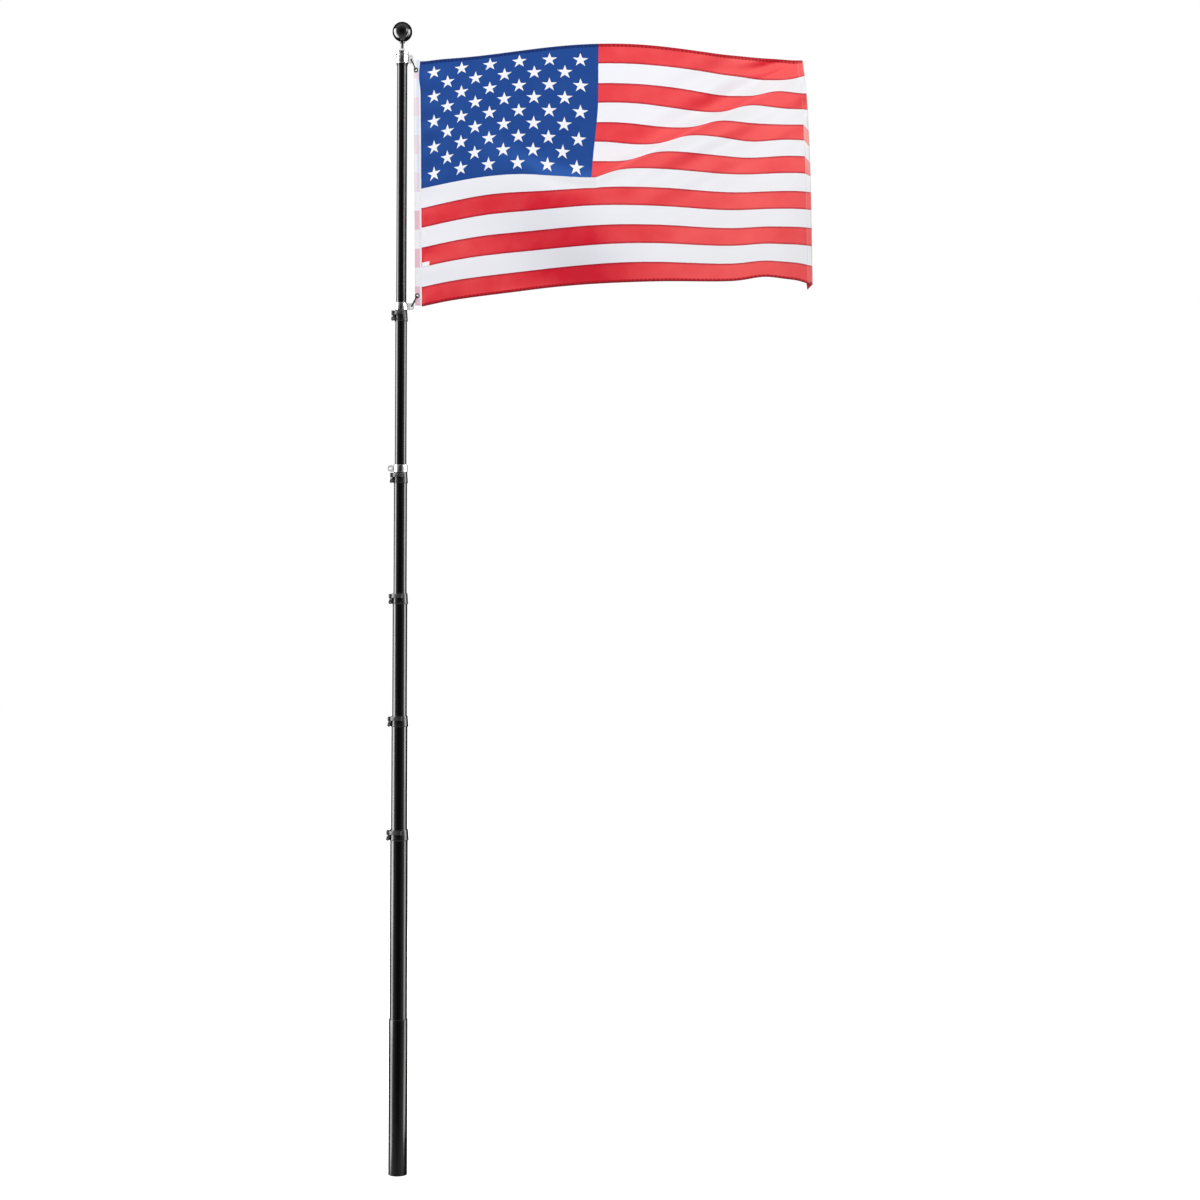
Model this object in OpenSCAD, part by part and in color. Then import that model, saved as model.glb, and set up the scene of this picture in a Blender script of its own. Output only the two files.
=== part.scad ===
// Telescoping flagpole: six nested tubes locked by cam-lever clamps, standing in a ground sleeve.
// A flag hangs between two swivelling rings, a third ring waits for a second flag, and a ball tops it.
// +Z is up, +X is the way the flag flies, -Y is the front. Millimetres.

/* [Pole] */
// Outside diameter of the top tube
top_tube_d = 36.5; // [34:0.5:39]
// Wall thickness of every tube
tube_wall = 2; // [1.6:0.1:2.4]
// Radial gap between one tube and the next
tube_gap = 0.65; // [0.5:0.05:0.8]
// Length of each of the five sliding tubes
tube_len = 1138; // [1080:1:1180]
// Height of the base tube's upper end above the ground face
base_h = 1214; // [1180:1:1260]
// Rise of the second tube's end above the base tube's end
rise_2 = 409; // [200:1:900]
// Rise of the third tube's end above the second's
rise_3 = 441; // [200:1:900]
// Rise of the fourth tube's end above the third's
rise_4 = 435; // [200:1:900]
// Rise of the fifth tube's end above the fourth's
rise_5 = 583; // [200:1:900]
// Rise of the top tube's end above the fifth's, which sets how tall the flag's place is
rise_6 = 948; // [944:1:960]

/* [Ground sleeve] */
// Height of the sleeve
sleeve_h = 560; // [450:5:700]
// Wall thickness of the sleeve
sleeve_wall = 1.8; // [1.5:0.1:3]
// Thickness of the sleeve's closed floor
sleeve_floor = 4; // [3:0.5:8]
// Radial gap between the sleeve and the base tube
sleeve_gap = 0.5; // [0.3:0.1:1]

/* [Clamps] */
// Height of a clamp collar
collar_h = 40; // [38:1:44]
// Wall of a collar at its foot
collar_wall = 3; // [2.5:0.25:4]
// Width of the slit that lets a collar close on the tube
slit_w = 3; // [2:0.5:4]
// Thickness of each ear beside the slit
ear_t = 6; // [5:0.5:7]
// Radius of a lever's round knuckle
knuckle_r = 6; // [5.5:0.25:6.5]
// Radius of the bolt and of its cross pin
pin_r = 2.5; // [2:0.1:3]
// Thickness of a lever's arm
lever_t = 4; // [3:0.5:5]
// Where a lever's arm ends, in degrees round the pole from +X
lever_end = 287; // [275:1:295]

/* [Flag rings] */
// Height of the lower ring and of the spare ring
ring_h = 26; // [22:1:28]
// Height of the upper ring
upper_ring_h = 33; // [28:1:36]
// Wall of a ring
ring_wall = 3.4; // [3:0.1:5]
// How far a ring's lug reaches from the pole's axis
lug_reach = 46; // [44:0.5:48]
// Thickness of a lug
lug_t = 5; // [4:0.5:6]
// Radius of the eye in a lug
eye_r = 5; // [4.5:0.1:5.5]
// Wire radius of a spring clip
clip_wire_r = 2.2; // [1.8:0.1:2.4]

/* [Finial] */
// Diameter of the ball
ball_d = 71; // [60:1:80]
// Height of the ball's centre above the top tube's end
ball_rise = 82.5; // [80:0.5:90]
// Diameter of the stem under the ball
stem_d = 11; // [9:0.5:12]

/* [Flag] */
// Height of the flag at its header
hoist_h = 886; // [872:1:892]
// Length of the field from the header to the fly end, as it hangs
field_w = 1408; // [1300:1:1450]
// Width of the header strip
header_w = 26.5; // [25:0.1:30]
// Thickness of the field's solid
field_t = 1.6; // [1.2:0.1:3]
// How much the middle of the top edge lifts
top_lift = 58.5; // [40:0.5:70]
// How much the bottom edge lifts away from the header
foot_lift = 30.5; // [20:0.5:50]
// How far the long diagonal fold brings the cloth below it forward
fold_depth = 70; // [40:1:90]
// How far the cloth above that fold leans back
fold_lean = 35; // [20:1:50]
// How much height that fold takes up
fold_take = 24; // [15:1:35]
// How much more height a soft pleat near the header takes up
pleat_take = 20; // [10:1:30]
// How much the cloth draws together in height towards the fly end
fly_draw = 68.5; // [30:0.5:80]
// How far the fly end dips below its top corner
fly_dip = 38; // [20:1:50]
// How far the slanting hollow under the long fold lies back
foot_hollow = 60; // [30:1:80]
// How far the cloth swings back beside the header
header_swing = 18; // [10:1:25]
// Depth of the ripples towards the fly end
ripple = 22; // [10:1:30]

/* [Hidden] */
$fn = 96;
seat = 0.3;
slide_gap = 0.3;
fixed_gap = 0.1;
pin_gap = 0.06;
black = [0.05, 0.05, 0.055];
dark_grey = [0.16, 0.16, 0.17];
chrome = [0.82, 0.83, 0.85];
steel = [0.6, 0.6, 0.62];
brass = [0.76, 0.6, 0.32];

// Tubes, counted from 1 at the base to 6 at the top
tube_count = 6;
rises = [0, rise_2, rise_3, rise_4, rise_5, rise_6];
function tube_r(i) = top_tube_d / 2 + (tube_wall + tube_gap) * (tube_count - i);
function end_z(i) = i == 1 ? base_h : end_z(i - 1) + rises[i - 1];

// Clamp sizes, measured up from a collar's foot
collar_seat = 12;
top_wall = 2.2;
foot_chamfer = 1.5;
ear_low = collar_seat + 1;
ear_high = collar_h - 4;
bolt_z = collar_seat + 6.5;
fork_gap = 2 * pin_r + 1;
fork_low = bolt_z - fork_gap / 2;
fork_high = bolt_z + fork_gap / 2;
prong_low = 2;
prong_r = knuckle_r - 0.4;
knuckle_high = collar_h - 3;
knuckle_tuck = 1.6;
arm_gap = 2;
arm_start = 2;
arm_inset = 1;
web_inset = 0.4;
web_angle = 10;
bead_share = 0.6;
knob_z = collar_seat / 2 + 0.5;
knob_r = knob_z - 0.3;
knob_front = knuckle_r + 0.5;
knob_back = pin_r + 0.6;
dimple_r = 3.6;
dimple_depth = 1.2;
ear_reach = knuckle_r - 1;
nut_r = 5.2;
nut_t = 4.5;
function collar_z(i) = end_z(i) - collar_seat;
function collar_top(i) = collar_z(i) + collar_h;
function foot_r(i) = tube_r(i) + collar_wall;
function pivot_x(i) = -(foot_r(i) + knuckle_r - knuckle_tuck);
pivot_y = -(slit_w / 2 + ear_t + seat + knuckle_r);
function pivot_angle(i) = 180 + atan(pivot_y / pivot_x(i));

// Rings
lower_ring_z = collar_top(5) + seat;
spare_ring_z = collar_top(4) + seat;
upper_ring_z = end_z(6) - upper_ring_h + 0.5;
lug_lift = 2;
lug_corner = 9;
eye_in = 9.5;
header_x = 41;
upper_reach = header_x - 1.6;
function ring_bore(i) = tube_r(i) + 0.5;
function ring_r(i) = ring_bore(i) + ring_wall;
upper_eye = [upper_reach - eye_in, 0, upper_ring_z + upper_ring_h / 2 + 4];
lower_eye = [lug_reach - eye_in, 0, lower_ring_z + ring_h / 2 - 2];

// Cap and finial
stop_h = 5.7;
cap_h = 10.5;
cone_h = 10;
spigot_h = 25;
cap_z = end_z(6) + seat + 0.5;
ball_z = end_z(6) + ball_rise;
ball_wall = 2.5;
stem_low = cap_z + 3;
flange_r = 9.5;
flange_t = 4;

// Header and field. The header leans a little, so its foot stands further from the pole
header_t = 1.6;
header_top = end_z(6) - 16;
header_lean = 9;
hoist_slack = 32;
corner_back = 40;
knee_pull = 23;
fly_hollow = 8;
fold_crease = 9.5;
fly_shoulder = 11.5;
fly_heel = 13;
fold_knee = 0.465;
lift_at = 0.475;
lift_fall = 0.457;
grommet_in = 38.5;
grommet_bore = 4.5;
grommet_r = 8.5;
grommet_barrel = 6;
flange_gap = 0.3;
rim_t = 1;
function header_mid(z) = header_x + 6 + header_lean * (header_top - z) / hoist_h;
upper_grommet = [header_mid(header_top - grommet_in) + 2, 0, header_top - grommet_in];
lower_grommet_z = header_top - hoist_h + grommet_in - 4;
lower_grommet = [header_mid(lower_grommet_z) + 2, 0, lower_grommet_z];

// Clips: how far each end of the loop is pulled off the centre of its hole
loop_r = 7;
function loop_sag(half_t) = loop_r - sqrt(loop_r * loop_r - half_t * half_t);
eye_slack = eye_r - clip_wire_r - seat - loop_sag(lug_t / 2);
hole_slack = grommet_bore - clip_wire_r - seat - loop_sag(header_t / 2 + flange_gap + rim_t);

module ring_solid(r_out, r_in, h) {
    difference() {
        cylinder(r = r_out, h = h);
        translate([0, 0, -1]) cylinder(r = r_in, h = h + 2);
    }
}

// Closed-bottom sleeve with a chamfered rim that the base tube stands in
module ground_sleeve() {
    bore = tube_r(1) + sleeve_gap;
    r = bore + sleeve_wall;
    color(black) rotate_extrude() polygon([
        [0, 0], [r, 0], [r, sleeve_h - 1.2], [r - 1.2, sleeve_h],
        [bore, sleeve_h], [bore, sleeve_floor], [0, sleeve_floor]
    ]);
}

module tube(i) {
    low = i == 1 ? sleeve_floor + seat : end_z(i) - tube_len;
    color(black) translate([0, 0, low]) ring_solid(tube_r(i), tube_r(i) - tube_wall, end_z(i) - low);
}

// Stepped collar: its foot seats on the lower tube, and its slit band closes on the upper one
module collar(i) {
    foot = foot_r(i);
    top = tube_r(i + 1) + top_wall;
    seat_bore = tube_r(i) + fixed_gap;
    band_bore = tube_r(i + 1) + slide_gap;
    step_z = collar_seat + seat;
    ear_in = -(band_bore + 1);
    ear_out = pivot_x(i) - ear_reach;
    color(dark_grey) translate([0, 0, collar_z(i)]) difference() {
        union() {
            rotate_extrude() polygon([
                [seat_bore, 0], [foot - foot_chamfer, 0], [foot, 2], [top + 0.8, collar_h - 2],
                [top, collar_h], [band_bore, collar_h], [band_bore, step_z], [seat_bore, step_z]
            ]);
            for (side = [-1, 1])
                translate([ear_out, side > 0 ? slit_w / 2 : -slit_w / 2 - ear_t, ear_low])
                    cube([ear_in - ear_out, ear_t, ear_high - ear_low]);
        }
        translate([-2 * foot, -slit_w / 2, step_z]) cube([2 * foot - tube_r(i + 1) + 3, slit_w, collar_h]);
        translate([pivot_x(i), 0, bolt_z]) rotate([90, 0, 0])
            cylinder(r = pin_r + fixed_gap, h = 60, center = true);
    }
}

// Cam lever: a knuckle forked round the bolt on its cross pin, a round knob in front of the lower prong,
// and an arm with a beaded tip that wraps the collar's front
module lever(i) {
    arm_r = foot_r(i) + arm_gap;
    start = pivot_angle(i) + arm_start;
    arm_z = fork_high + arm_inset;
    arm_h = knuckle_high - fork_high - 2 * arm_inset;
    web_z = prong_low + arm_inset;
    web_t = lever_t - 2 * web_inset;
    color(dark_grey) translate([0, 0, collar_z(i)]) difference() {
        union() {
            translate([pivot_x(i), pivot_y, prong_low]) cylinder(r = prong_r, h = fork_low - prong_low);
            translate([pivot_x(i), pivot_y, fork_high]) cylinder(r = knuckle_r, h = knuckle_high - fork_high);
            translate([pivot_x(i), pivot_y - knob_back, knob_z]) rotate([90, 0, 0])
                cylinder(r = knob_r, h = knob_front - knob_back);
            translate([0, 0, arm_z]) arc_band(arm_r, lever_t, start, lever_end, arm_h);
            translate([0, 0, web_z])
                arc_band(arm_r + web_inset, web_t, start - 1, start + web_angle, arm_z - web_z + 1);
            rotate([0, 0, lever_end]) translate([arm_r + lever_t, 0, arm_z - arm_inset / 2])
                cylinder(r = bead_share * lever_t, h = arm_h + arm_inset);
        }
        translate([pivot_x(i), pivot_y, prong_low - 1])
            cylinder(r = pin_r + pin_gap, h = knuckle_high - prong_low + 2);
        translate([pivot_x(i), pivot_y - knob_front + dimple_depth, knob_z]) rotate([90, 0, 0])
            cylinder(r = dimple_r, h = dimple_depth + 1);
    }
}

module arc_band(r, t, from, to, h) {
    rotate([0, 0, from]) rotate_extrude(angle = to - from) translate([r, 0]) square([t, h]);
}

// Bolt through both ears, with the lever's vertical pin across its front end
module bolt(i) {
    rear = slit_w / 2 + ear_t + seat + nut_t + 2;
    shaft_y = pivot_y + pin_r / 2;
    color(steel) translate([pivot_x(i), 0, collar_z(i)]) union() {
        translate([0, pivot_y, prong_low]) cylinder(r = pin_r, h = knuckle_high - prong_low);
        translate([0, shaft_y, bolt_z]) rotate([-90, 0, 0]) cylinder(r = pin_r, h = rear - shaft_y);
    }
}

module nut(i) {
    front = slit_w / 2 + ear_t + seat;
    color(steel) translate([pivot_x(i), front, collar_z(i) + bolt_z]) rotate([-90, 0, 0]) difference() {
        cylinder(r = nut_r, h = nut_t, $fn = 6);
        translate([0, 0, -1]) cylinder(r = pin_r + fixed_gap, h = nut_t + 2);
    }
}

// Swivel ring with a flat lug and its eye. turn = 0 points the lug to +X
module flag_ring(i, z, h, reach, eye_z, turn) {
    r = ring_r(i);
    lug_low = z + lug_lift;
    lug_high = z + h - 1;
    flat_w = reach - lug_corner - r + 1.5;
    color(chrome) rotate([0, 0, turn]) difference() {
        union() {
            translate([0, 0, z]) rotate_extrude() polygon([
                [ring_bore(i), 0], [r - 0.8, 0], [r, 0.8], [r, h - 0.8], [r - 0.8, h], [ring_bore(i), h]
            ]);
            translate([0, lug_t / 2, 0]) rotate([90, 0, 0]) linear_extrude(lug_t) {
                translate([r - 1.5, lug_low]) square([flat_w, lug_high - lug_low]);
                translate([r - 1.5, lug_low + lug_corner])
                    square([flat_w + lug_corner, lug_high - lug_low - 2 * lug_corner]);
                for (corner_z = [lug_low + lug_corner, lug_high - lug_corner])
                    translate([reach - lug_corner, corner_z]) circle(r = lug_corner);
            }
        }
        translate([reach - eye_in, 0, eye_z]) rotate([90, 0, 0])
            cylinder(r = eye_r, h = 2 * lug_t, center = true);
    }
}

module ring_stop() {
    r = tube_r(6);
    color(black) translate([0, 0, upper_ring_z - seat - stop_h])
        ring_solid(r + 1.8, r + fixed_gap, stop_h);
}

// Wire link from a ring's eye to a grommet, its long loop standing across them and pulled up tight in both
module spring_clip(eye, hole) {
    along = (hole - eye) / norm(hole - eye);
    run = norm(hole - eye) - eye_slack - hole_slack;
    color(steel) translate(eye + along * eye_slack) rotate([0, atan2(along[0], along[2]), 0]) union() {
        for (side = [-1, 1])
            translate([0, side * loop_r, loop_r]) cylinder(r = clip_wire_r, h = run - 2 * loop_r);
        translate([0, 0, loop_r]) rotate([-90, 0, -90]) half_loop(loop_r);
        translate([0, 0, run - loop_r]) rotate([90, 0, 90]) half_loop(loop_r);
    }
}

module half_loop(r) {
    rotate_extrude(angle = 180) translate([r, 0]) circle(r = clip_wire_r, $fn = 32);
}

// Two-part brass eyelet, closed over both faces of the header
module grommet(at) {
    face = header_t / 2 + flange_gap;
    color(brass) translate(at) rotate([90, 0, 0]) rotate_extrude() polygon([
        [grommet_bore, -face - rim_t], [grommet_r, -face - rim_t],
        [grommet_r, -face], [grommet_barrel, -face], [grommet_barrel, face], [grommet_r, face],
        [grommet_r, face + rim_t], [grommet_bore, face + rim_t]
    ]);
}

// Chrome cap with a low cone, and a spigot down into the top tube
module top_cap() {
    r = ring_r(6) - 0.5;
    spigot_r = tube_r(6) - tube_wall - fixed_gap;
    stem_r = stem_d / 2 + fixed_gap;
    color(chrome) translate([0, 0, cap_z]) rotate_extrude() polygon([
        [0, -spigot_h], [spigot_r, -spigot_h], [spigot_r, 0], [r, 0], [r, cap_h - 1], [r - 1, cap_h],
        [r - 4, cap_h], [stem_r + 2, cap_h + cone_h], [stem_r, cap_h + cone_h],
        [stem_r, 2.7], [0, 2.7]
    ]);
}

module finial_stem() {
    flange_z = ball_z - ball_d / 2 - 1 - flange_t;
    color(black) union() {
        translate([0, 0, stem_low]) cylinder(d = stem_d, h = ball_z - 8 - stem_low);
        translate([0, 0, flange_z]) cylinder(r = flange_r, h = flange_t);
    }
}

// Hollow ball with a socket for the stem
module finial_ball() {
    socket_r = stem_d / 2 + 3;
    color(black) translate([0, 0, ball_z]) difference() {
        union() {
            difference() {
                sphere(d = ball_d);
                sphere(d = ball_d - 2 * ball_wall);
            }
            translate([0, 0, -ball_d / 2 + 3]) cylinder(r = socket_r, h = ball_d / 2 - 7);
        }
        translate([0, 0, -ball_d]) cylinder(d = stem_d + 2 * fixed_gap, h = ball_d - 7);
    }
}

module flag_header() {
    color("white") difference() {
        translate([header_x, header_t / 2, header_top]) rotate([90, 0, 0]) linear_extrude(header_t) polygon([
            [0, 0], [header_w, 0], [header_w + header_lean, -hoist_h], [header_lean, -hoist_h]
        ]);
        for (at = [upper_grommet, lower_grommet])
            translate(at) rotate([90, 0, 0]) cylinder(r = grommet_barrel + fixed_gap, h = 10, center = true);
    }
}

// The field is a sheet over u, from header to fly end, and v, from top edge to bottom edge.
// Its long fold starts broad at the header, tightens at the knee and then climbs to the fly end's top corner
function ease(x) = let (t = min(1, max(0, x))) t * t * (3 - 2 * t);
function bell(x, width) = exp(-pow(x / width, 2));
function near_header(u) = 1 - ease(u / fold_knee);
function near_fly(u) = ease((u - 0.7) / 0.3);
function fold_line(u) = 0.562 - 0.96 * max(0, u - fold_knee) - 0.28 * near_header(u);
function fold_soft(u) = 0.039 + 0.052 * near_header(u);
function fold_step(u, v) = 1 / (1 + exp(-2 * (v - fold_line(u)) / fold_soft(u)));
function fold(u, v) = fold_step(u, v) - fold_step(u, 0);
function pleat(u) = pleat_take * bell(u - 0.15, 0.137) * ease(u / 0.06);
function fold_height(u) = hoist_slack * near_header(u) + fold_take * (1 - near_header(u)) + pleat(u);
function lift(u) = top_lift * pow(cos(90 * min(1, (u - lift_at) / (u < lift_at ? -lift_at : lift_fall))), 2);
function draw(u, v) = fly_draw * ease((u - 0.36) / 0.66) * v + foot_lift * (1 - exp(-u / 0.42)) * v * v;
function crease(u, v) = -fold_crease * ease((u - 0.42) / 0.2) * bell(v - fold_line(u) + 0.105, 0.1);
function shoulder(u, v) = fly_shoulder * bell(u - 0.9, 0.14) * (1 - v);
function heel(u, v) = fly_heel * bell(u - 0.876, 0.05) * pow(v, 6);
function dip(u, v) = -fly_dip * bell(u - 1, 0.115) * bell(v - 0.224, 0.15);
function ripples(u, v) = ripple * ease((u - 0.55) / 0.4) * sin(360 * (2.6 * u + 0.5 * v));
function mid_height(v) = ease((v - 0.2) / 0.35) * (1 - ease((v - 0.6) / 0.3));
function pull(u, v) = -knee_pull * bell(u - 0.47, 0.12) * mid_height(v);
function fly_line(u, v) = near_fly(u) * (-corner_back * pow(1 - v, 3) - fly_hollow * sin(180 * v));
function field_x(u, v) = header_x + header_w + seat + field_w * u
    + header_lean * v * (1 - ease(u / 0.45)) + pull(u, v) + fly_line(u, v);
function hollow(u, v) = foot_hollow * bell(u - 0.75 * v + 0.32, 0.15) * ease((v - 0.5) / 0.5);
function swing(u) = header_swing * u / 0.1 * exp(1 - u / 0.1);
function field_y(u, v) = ripples(u, v) - fold_depth * ease((u - 0.2) / 0.33) * fold(u, v)
    + fold_lean * ease(u / 0.4) * v * (1 - fold(u, v)) + hollow(u, v) + swing(u);
function field_z(u, v) = header_top + lift(u) - (hoist_h + hoist_slack) * v + fold_height(u) * fold(u, v)
    + draw(u, v) + crease(u, v) + shoulder(u, v) + heel(u, v) + dip(u, v);
function field_point(u, v, side) = [field_x(u, v), field_y(u, v) + side * field_t / 2, field_z(u, v)];

module flag_field() {
    columns = 48;
    rows = 22;
    line = rows + 1;
    sheet = (columns + 1) * line;
    points = [
        for (side = [-1, 1]) for (c = [0:columns]) for (r = [0:rows])
            field_point(c / columns, r / rows, side)
    ];
    front = [for (c = [0:columns - 1]) for (r = [0:rows - 1]) let (a = c * line + r)
        each [[a, a + line, a + line + 1], [a, a + line + 1, a + 1]]];
    back = [for (f = front) [f[2] + sheet, f[1] + sheet, f[0] + sheet]];
    top_edge = [for (c = [0:columns - 1]) let (a = c * line, b = a + line)
        each [[a, a + sheet, b + sheet], [a, b + sheet, b]]];
    bottom_edge = [for (c = [0:columns - 1]) let (a = c * line + rows, b = a + line)
        each [[a, b + sheet, a + sheet], [a, b, b + sheet]]];
    hoist_edge = [for (r = [0:rows - 1]) let (a = r, b = r + 1)
        each [[a, b + sheet, a + sheet], [a, b, b + sheet]]];
    fly_edge = [for (r = [0:rows - 1]) let (a = columns * line + r, b = a + 1)
        each [[a, a + sheet, b + sheet], [a, b + sheet, b]]];
    color("firebrick") polyhedron(points, concat(front, back, top_edge, bottom_edge, hoist_edge, fly_edge));
}

ground_sleeve();
for (i = [1:tube_count]) {
    tube(i);
}
for (i = [1:tube_count - 1]) {
    collar(i);
    lever(i);
    bolt(i);
    nut(i);
}
ring_stop();
flag_ring(6, upper_ring_z, upper_ring_h, upper_reach, upper_eye[2], 0);  // upper_ring
flag_ring(6, lower_ring_z, ring_h, lug_reach, lower_eye[2], 0);  // lower_ring
flag_ring(5, spare_ring_z, ring_h, lug_reach, spare_ring_z + ring_h / 2, 180);  // spare_ring
spring_clip(upper_eye, upper_grommet);  // upper_clip
spring_clip(lower_eye, lower_grommet);  // lower_clip
grommet(upper_grommet);
grommet(lower_grommet);
top_cap();
finial_stem();
finial_ball();
flag_header();
flag_field();
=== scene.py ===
"""Looks of the telescoping flagpole: finishes for the pole, and the flag as sewn and dyed cloth."""
import math

import bpy
import numpy as np
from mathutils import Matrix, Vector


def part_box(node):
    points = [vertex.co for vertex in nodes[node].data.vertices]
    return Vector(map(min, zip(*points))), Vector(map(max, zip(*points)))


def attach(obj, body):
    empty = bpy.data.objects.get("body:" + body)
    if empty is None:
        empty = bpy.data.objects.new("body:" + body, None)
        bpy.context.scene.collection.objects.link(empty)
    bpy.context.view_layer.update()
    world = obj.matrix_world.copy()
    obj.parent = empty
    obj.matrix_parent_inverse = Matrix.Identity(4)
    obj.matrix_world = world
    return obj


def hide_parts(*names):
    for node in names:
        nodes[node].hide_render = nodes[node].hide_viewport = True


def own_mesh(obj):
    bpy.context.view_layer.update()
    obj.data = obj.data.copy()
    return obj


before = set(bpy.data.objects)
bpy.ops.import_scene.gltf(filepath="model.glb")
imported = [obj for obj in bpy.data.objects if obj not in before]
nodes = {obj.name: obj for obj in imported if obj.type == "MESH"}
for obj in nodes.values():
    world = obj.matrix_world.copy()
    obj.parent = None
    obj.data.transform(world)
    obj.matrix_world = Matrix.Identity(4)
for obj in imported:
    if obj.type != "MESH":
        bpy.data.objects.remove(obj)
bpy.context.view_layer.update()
scene = bpy.context.scene


# Node building, for materials and for Geometry Nodes alike
def node(tree, kind, inputs=(), **settings):
    """Adds a node. inputs maps a socket's name or number to a value or to another node's socket."""
    made = tree.nodes.new(kind)
    for key, value in settings.items():
        setattr(made, key, value)
    for key, value in dict(inputs).items():
        if isinstance(value, bpy.types.NodeSocket):
            tree.links.new(value, made.inputs[key])
        else:
            made.inputs[key].default_value = value
    return made


def math_node(tree, operation, a, b=0.0):
    return node(tree, "ShaderNodeMath", {0: a, 1: b}, operation=operation).outputs[0]


def plus(tree, a, b):
    return math_node(tree, "ADD", a, b)


def minus(tree, a, b):
    return math_node(tree, "SUBTRACT", a, b)


def times(tree, a, b):
    return math_node(tree, "MULTIPLY", a, b)


def vector_of(tree, x=0.0, y=0.0, z=0.0):
    return node(tree, "ShaderNodeCombineXYZ", {0: x, 1: y, 2: z}).outputs[0]


def finish_of(name, color, roughness, **sockets):
    """A material with one Principled shader, and its tree and shader for the details that follow."""
    made = bpy.data.materials.new(name)
    made.use_nodes = True
    tree = made.node_tree
    shader = tree.nodes["Principled BSDF"]
    shader.inputs["Base Color"].default_value = (*color, 1.0)
    shader.inputs["Roughness"].default_value = roughness
    for key, value in sockets.items():
        shader.inputs[key.replace("_", " ")].default_value = value
    made.diffuse_color = (*color, 1.0)
    return made, tree, shader


def feed(tree, shader, **sockets):
    """Links values to the shader's sockets."""
    for key, value in sockets.items():
        tree.links.new(value, shader.inputs[key.replace("_", " ")])


def mapped(tree, place, scale):
    return node(tree, "ShaderNodeMapping", {"Vector": place, "Scale": scale}).outputs["Vector"]


def object_place(tree, scale=(1.0, 1.0, 1.0)):
    """Object coordinates, scaled."""
    return mapped(tree, node(tree, "ShaderNodeTexCoord").outputs["Object"], scale)


def cloth_map(tree):
    """The sheet's own map, from 0 to 1 along it and down it."""
    return node(tree, "ShaderNodeUVMap", uv_map="cloth").outputs["UV"]


def noise(tree, place, scale, detail=2.0):
    cloudy = node(tree, "ShaderNodeTexNoise", {"Vector": place, "Scale": scale, "Detail": detail})
    return cloudy.outputs["Fac"]


def ribs(tree, place, scale, direction):
    """Even bands in one direction."""
    wave = node(tree, "ShaderNodeTexWave", {"Vector": place, "Scale": scale}, bands_direction=direction)
    return wave.outputs["Fac"]


def spread(tree, value, low, high, from_low=0.3, from_high=0.7):
    """A value between from_low and from_high, spread over low to high."""
    ends = {"Value": value, "From Min": from_low, "From Max": from_high, "To Min": low, "To Max": high}
    return node(tree, "ShaderNodeMapRange", ends).outputs["Result"]


def two_tone(tree, share, first, second):
    tones = node(tree, "ShaderNodeMix", {0: share}, data_type="RGBA")
    tones.inputs[6].default_value = (*first, 1.0)
    tones.inputs[7].default_value = (*second, 1.0)
    return tones.outputs[2]


def over(tree, share, under, color):
    """A colour laid over another one by share."""
    mixed_in = node(tree, "ShaderNodeMix", {0: share, 6: under}, data_type="RGBA")
    mixed_in.inputs[7].default_value = (*color, 1.0)
    return mixed_in.outputs[2]


def bump(tree, shader, height, strength, distance):
    made = node(tree, "ShaderNodeBump", {"Height": height, "Strength": strength, "Distance": distance})
    feed(tree, shader, Normal=made.outputs["Normal"])


# Finishes of the hard pieces
def anodised_tube():
    """Black anodised aluminium with faint lengthwise lines from drawing and sliding, duller low down."""
    made, tree, shader = finish_of("tube_anodised", (0.003, 0.003, 0.0033), 0.2, Specular_IOR_Level=0.5)
    drawn = noise(tree, object_place(tree, (900.0, 900.0, 2.5)), 1.0, 3.0)
    cloudy = noise(tree, object_place(tree), 14.0)
    mottle = plus(tree, times(tree, drawn, 0.6), times(tree, cloudy, 0.4))
    height = node(tree, "ShaderNodeSeparateXYZ", {0: object_place(tree)}).outputs["Z"]
    low_down = spread(tree, height, 0.05, 0.0, 0.6, 2.0)
    tone = two_tone(tree, spread(tree, drawn, 0.0, 1.0), (0.002, 0.002, 0.0023), (0.005, 0.005, 0.0055))
    feed(tree, shader, Roughness=plus(tree, spread(tree, mottle, 0.09, 0.13), low_down), Base_Color=tone)
    bump(tree, shader, drawn, 0.02, 0.0002)
    return made


def sleeve_plastic():
    """Black satin plastic of the ground sleeve, with a fine moulded grain."""
    made, tree, shader = finish_of("sleeve_satin", (0.004, 0.004, 0.0043), 0.25)
    grain = noise(tree, object_place(tree), 1400.0)
    scuff = noise(tree, object_place(tree, (1.0, 1.0, 0.3)), 40.0, 4.0)
    scuffed = spread(tree, scuff, 0.0, 1.0, 0.55, 0.75)
    tone = two_tone(tree, scuffed, (0.003, 0.003, 0.0033), (0.007, 0.007, 0.0075))
    feed(tree, shader, Roughness=spread(tree, scuff, 0.15, 0.21), Base_Color=tone)
    bump(tree, shader, grain, 0.04, 0.0002)
    return made


def clamp_nylon(name, dark, pale, roughness):
    """Dark moulded nylon with a spark-eroded grain, paler in patches where hands have polished it."""
    made, tree, shader = finish_of(name, dark, roughness)
    place = object_place(tree)
    grain = noise(tree, place, 1100.0, 3.0)
    worn = noise(tree, place, 120.0, 4.0)
    tone = two_tone(tree, spread(tree, worn, 0.0, 1.0, 0.45, 0.75), dark, pale)
    feed(tree, shader, Roughness=spread(tree, worn, 0.8 * roughness, 1.25 * roughness), Base_Color=tone)
    bump(tree, shader, grain, 0.2, 0.0002)
    return made


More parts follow.
